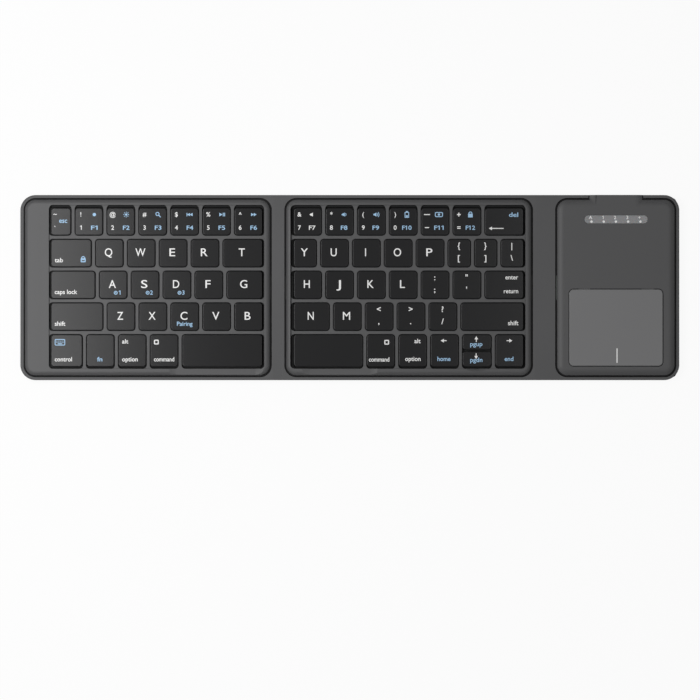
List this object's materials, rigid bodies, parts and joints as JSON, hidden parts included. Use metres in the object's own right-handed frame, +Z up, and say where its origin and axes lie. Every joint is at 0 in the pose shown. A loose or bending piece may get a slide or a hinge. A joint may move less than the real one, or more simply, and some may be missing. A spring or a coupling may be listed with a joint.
{
  "type": "folding keyboard",
  "caption": "Pocket keyboard in three hinged panels: two key panels and a touchpad panel in a soft leather cover that folds flat over itself.",
  "frame": {"origin": "centre of the open keyboard's footprint, on the surface that it lies on", "axes": "+X runs along the open keyboard to the touchpad end, +Y to the rear edge with the number row, +Z up"},
  "size_m": [0.329, 0.0924, 0.0056],
  "materials": {
    "leather": "black PU leather with a fine pebble grain",
    "lining": "smooth matte grey lining",
    "tray": "matte moulded plastic",
    "bezel": "matte grey moulded plastic",
    "steel": "stamped steel sheet",
    "dome_rubber": "matte silicone sheet",
    "ribbon": "amber polyimide film",
    "magnet": "nickel plated magnet",
    "touch_surface": "fine matte touch surface",
    "window": "translucent grey light window",
    "board": "green circuit board",
    "socket": "stamped steel shell",
    "battery": "foil pouch",
    "keycap": "matte black moulded keycap"
  },
  "bodies": {
    "middle_panel": {"middle_cover": "leather", "middle_lining": "lining", "middle_tray": "tray", "middle_bezel": "bezel", "middle_plate": "steel", "middle_switches": "dome_rubber"},
    "left_spine": {"left_spine_cover": "leather", "left_spine_lining": "lining", "left_ribbon": "ribbon"},
    "left_panel": {"left_cover": "leather", "left_lining": "lining", "left_tray": "tray", "left_bezel": "bezel", "left_plate": "steel", "left_switches": "dome_rubber", "magnets": "magnet"},
    "right_spine": {"right_spine_cover": "leather", "right_spine_lining": "lining", "right_ribbon": "ribbon"},
    "pad_panel": {"pad_cover": "leather", "pad_lining": "lining", "pad_tray": "tray", "pad_housing": "bezel", "indicator_window": "window", "pad_board": "board", "usb_socket": "socket", "battery": "battery"},
    "touchpad": {"touchpad": "touch_surface"},
    "key_q": {"key_q": "keycap"},
    "key_w": {"key_w": "keycap"},
    "key_e": {"key_e": "keycap"},
    "key_r": {"key_r": "keycap"},
    "key_t": {"key_t": "keycap"},
    "key_a": {"key_a": "keycap"},
    "key_s": {"key_s": "keycap"},
    "key_d": {"key_d": "keycap"},
    "key_f": {"key_f": "keycap"},
    "key_g": {"key_g": "keycap"},
    "key_z": {"key_z": "keycap"},
    "key_x": {"key_x": "keycap"},
    "key_c": {"key_c": "keycap"},
    "key_v": {"key_v": "keycap"},
    "key_b": {"key_b": "keycap"},
    "left_space_bar": {"left_space_bar": "keycap"},
    "left_number_keys": {"left_number_keys": "keycap"},
    "left_side_keys": {"left_side_keys": "keycap"},
    "key_y": {"key_y": "keycap"},
    "key_u": {"key_u": "keycap"},
    "key_i": {"key_i": "keycap"},
    "key_o": {"key_o": "keycap"},
    "key_p": {"key_p": "keycap"},
    "key_h": {"key_h": "keycap"},
    "key_j": {"key_j": "keycap"},
    "key_k": {"key_k": "keycap"},
    "key_l": {"key_l": "keycap"},
    "key_n": {"key_n": "keycap"},
    "key_m": {"key_m": "keycap"},
    "right_space_bar": {"right_space_bar": "keycap"},
    "middle_number_keys": {"middle_number_keys": "keycap"},
    "middle_side_keys": {"middle_side_keys": "keycap"}
  },
  "joints": [
    {"name": "left_panel_fold", "type": "hinge", "parent": "left_spine", "child": "left_panel", "pos_m": [-0.0375, 0, 0.004], "axis": [0, 1, 0], "range_deg": [0, 90]},
    {"name": "left_spine_fold", "type": "hinge", "parent": "middle_panel", "child": "left_spine", "pos_m": [-0.0341, 0, 0.004], "axis": [0, 1, 0], "range_deg": [0, 90]},
    {"name": "pad_panel_fold", "type": "hinge", "parent": "right_spine", "child": "pad_panel", "pos_m": [0.1024, 0, 0.004], "axis": [0, -1, 0], "range_deg": [0, 90]},
    {"name": "right_spine_fold", "type": "hinge", "parent": "middle_panel", "child": "right_spine", "pos_m": [0.0932, 0, 0.004], "axis": [0, -1, 0], "range_deg": [0, 90]},
    {"name": "touchpad_click", "type": "hinge", "parent": "pad_panel", "child": "touchpad", "pos_m": [0.1328, 0.001, 0.0047], "axis": [1, 0, 0], "range_deg": [0, 0.7], "stiffness_Nm_per_rad": 3, "springref_deg": -0.34},
    {"name": "key_q_press", "type": "slide", "parent": "left_panel", "child": "key_q", "axis": [0, 0, -1], "range_m": [0, 0.0012], "stiffness_N_per_m": 200, "springref_m": -0.0015, "deforming": ["left_switches"]},
    {"name": "key_w_press", "type": "slide", "parent": "left_panel", "child": "key_w", "axis": [0, 0, -1], "range_m": [0, 0.0012], "stiffness_N_per_m": 200, "springref_m": -0.0015, "deforming": ["left_switches"]},
    {"name": "key_e_press", "type": "slide", "parent": "left_panel", "child": "key_e", "axis": [0, 0, -1], "range_m": [0, 0.0012], "stiffness_N_per_m": 200, "springref_m": -0.0015, "deforming": ["left_switches"]},
    {"name": "key_r_press", "type": "slide", "parent": "left_panel", "child": "key_r", "axis": [0, 0, -1], "range_m": [0, 0.0012], "stiffness_N_per_m": 200, "springref_m": -0.0015, "deforming": ["left_switches"]},
    {"name": "key_t_press", "type": "slide", "parent": "left_panel", "child": "key_t", "axis": [0, 0, -1], "range_m": [0, 0.0012], "stiffness_N_per_m": 200, "springref_m": -0.0015, "deforming": ["left_switches"]},
    {"name": "key_a_press", "type": "slide", "parent": "left_panel", "child": "key_a", "axis": [0, 0, -1], "range_m": [0, 0.0012], "stiffness_N_per_m": 200, "springref_m": -0.0015, "deforming": ["left_switches"]},
    {"name": "key_s_press", "type": "slide", "parent": "left_panel", "child": "key_s", "axis": [0, 0, -1], "range_m": [0, 0.0012], "stiffness_N_per_m": 200, "springref_m": -0.0015, "deforming": ["left_switches"]},
    {"name": "key_d_press", "type": "slide", "parent": "left_panel", "child": "key_d", "axis": [0, 0, -1], "range_m": [0, 0.0012], "stiffness_N_per_m": 200, "springref_m": -0.0015, "deforming": ["left_switches"]},
    {"name": "key_f_press", "type": "slide", "parent": "left_panel", "child": "key_f", "axis": [0, 0, -1], "range_m": [0, 0.0012], "stiffness_N_per_m": 200, "springref_m": -0.0015, "deforming": ["left_switches"]},
    {"name": "key_g_press", "type": "slide", "parent": "left_panel", "child": "key_g", "axis": [0, 0, -1], "range_m": [0, 0.0012], "stiffness_N_per_m": 200, "springref_m": -0.0015, "deforming": ["left_switches"]},
    {"name": "key_z_press", "type": "slide", "parent": "left_panel", "child": "key_z", "axis": [0, 0, -1], "range_m": [0, 0.0012], "stiffness_N_per_m": 200, "springref_m": -0.0015, "deforming": ["left_switches"]},
    {"name": "key_x_press", "type": "slide", "parent": "left_panel", "child": "key_x", "axis": [0, 0, -1], "range_m": [0, 0.0012], "stiffness_N_per_m": 200, "springref_m": -0.0015, "deforming": ["left_switches"]},
    {"name": "key_c_press", "type": "slide", "parent": "left_panel", "child": "key_c", "axis": [0, 0, -1], "range_m": [0, 0.0012], "stiffness_N_per_m": 200, "springref_m": -0.0015, "deforming": ["left_switches"]},
    {"name": "key_v_press", "type": "slide", "parent": "left_panel", "child": "key_v", "axis": [0, 0, -1], "range_m": [0, 0.0012], "stiffness_N_per_m": 200, "springref_m": -0.0015, "deforming": ["left_switches"]},
    {"name": "key_b_press", "type": "slide", "parent": "left_panel", "child": "key_b", "axis": [0, 0, -1], "range_m": [0, 0.0012], "stiffness_N_per_m": 200, "springref_m": -0.0015, "deforming": ["left_switches"]},
    {"name": "left_space_bar_press", "type": "slide", "parent": "left_panel", "child": "left_space_bar", "axis": [0, 0, -1], "range_m": [0, 0.0012], "stiffness_N_per_m": 400, "springref_m": -0.0015, "deforming": ["left_switches"]},
    {"name": "left_number_keys_press", "type": "slide", "parent": "left_panel", "child": "left_number_keys", "axis": [0, 0, -1], "range_m": [0, 0.0012], "stiffness_N_per_m": 1400, "springref_m": -0.0015, "deforming": ["left_switches"]},
    {"name": "left_side_keys_press", "type": "slide", "parent": "left_panel", "child": "left_side_keys", "axis": [0, 0, -1], "range_m": [0, 0.0012], "stiffness_N_per_m": 1400, "springref_m": -0.0015, "deforming": ["left_switches"]},
    {"name": "key_y_press", "type": "slide", "parent": "middle_panel", "child": "key_y", "axis": [0, 0, -1], "range_m": [0, 0.0012], "stiffness_N_per_m": 200, "springref_m": -0.0015, "deforming": ["middle_switches"]},
    {"name": "key_u_press", "type": "slide", "parent": "middle_panel", "child": "key_u", "axis": [0, 0, -1], "range_m": [0, 0.0012], "stiffness_N_per_m": 200, "springref_m": -0.0015, "deforming": ["middle_switches"]},
    {"name": "key_i_press", "type": "slide", "parent": "middle_panel", "child": "key_i", "axis": [0, 0, -1], "range_m": [0, 0.0012], "stiffness_N_per_m": 200, "springref_m": -0.0015, "deforming": ["middle_switches"]},
    {"name": "key_o_press", "type": "slide", "parent": "middle_panel", "child": "key_o", "axis": [0, 0, -1], "range_m": [0, 0.0012], "stiffness_N_per_m": 200, "springref_m": -0.0015, "deforming": ["middle_switches"]},
    {"name": "key_p_press", "type": "slide", "parent": "middle_panel", "child": "key_p", "axis": [0, 0, -1], "range_m": [0, 0.0012], "stiffness_N_per_m": 200, "springref_m": -0.0015, "deforming": ["middle_switches"]},
    {"name": "key_h_press", "type": "slide", "parent": "middle_panel", "child": "key_h", "axis": [0, 0, -1], "range_m": [0, 0.0012], "stiffness_N_per_m": 200, "springref_m": -0.0015, "deforming": ["middle_switches"]},
    {"name": "key_j_press", "type": "slide", "parent": "middle_panel", "child": "key_j", "axis": [0, 0, -1], "range_m": [0, 0.0012], "stiffness_N_per_m": 200, "springref_m": -0.0015, "deforming": ["middle_switches"]},
    {"name": "key_k_press", "type": "slide", "parent": "middle_panel", "child": "key_k", "axis": [0, 0, -1], "range_m": [0, 0.0012], "stiffness_N_per_m": 200, "springref_m": -0.0015, "deforming": ["middle_switches"]},
    {"name": "key_l_press", "type": "slide", "parent": "middle_panel", "child": "key_l", "axis": [0, 0, -1], "range_m": [0, 0.0012], "stiffness_N_per_m": 200, "springref_m": -0.0015, "deforming": ["middle_switches"]},
    {"name": "key_n_press", "type": "slide", "parent": "middle_panel", "child": "key_n", "axis": [0, 0, -1], "range_m": [0, 0.0012], "stiffness_N_per_m": 200, "springref_m": -0.0015, "deforming": ["middle_switches"]},
    {"name": "key_m_press", "type": "slide", "parent": "middle_panel", "child": "key_m", "axis": [0, 0, -1], "range_m": [0, 0.0012], "stiffness_N_per_m": 200, "springref_m": -0.0015, "deforming": ["middle_switches"]},
    {"name": "right_space_bar_press", "type": "slide", "parent": "middle_panel", "child": "right_space_bar", "axis": [0, 0, -1], "range_m": [0, 0.0012], "stiffness_N_per_m": 400, "springref_m": -0.0015, "deforming": ["middle_switches"]},
    {"name": "middle_number_keys_press", "type": "slide", "parent": "middle_panel", "child": "middle_number_keys", "axis": [0, 0, -1], "range_m": [0, 0.0012], "stiffness_N_per_m": 1400, "springref_m": -0.0015, "deforming": ["middle_switches"]},
    {"name": "middle_side_keys_press", "type": "slide", "parent": "middle_panel", "child": "middle_side_keys", "axis": [0, 0, -1], "range_m": [0, 0.0012], "stiffness_N_per_m": 3200, "springref_m": -0.0015, "deforming": ["middle_switches"]}
  ],
  "couplings": [
    {"joint": "left_spine_fold", "follows": "left_panel_fold", "ratio": 1},
    {"joint": "right_spine_fold", "follows": "pad_panel_fold", "ratio": 1}
  ]
}
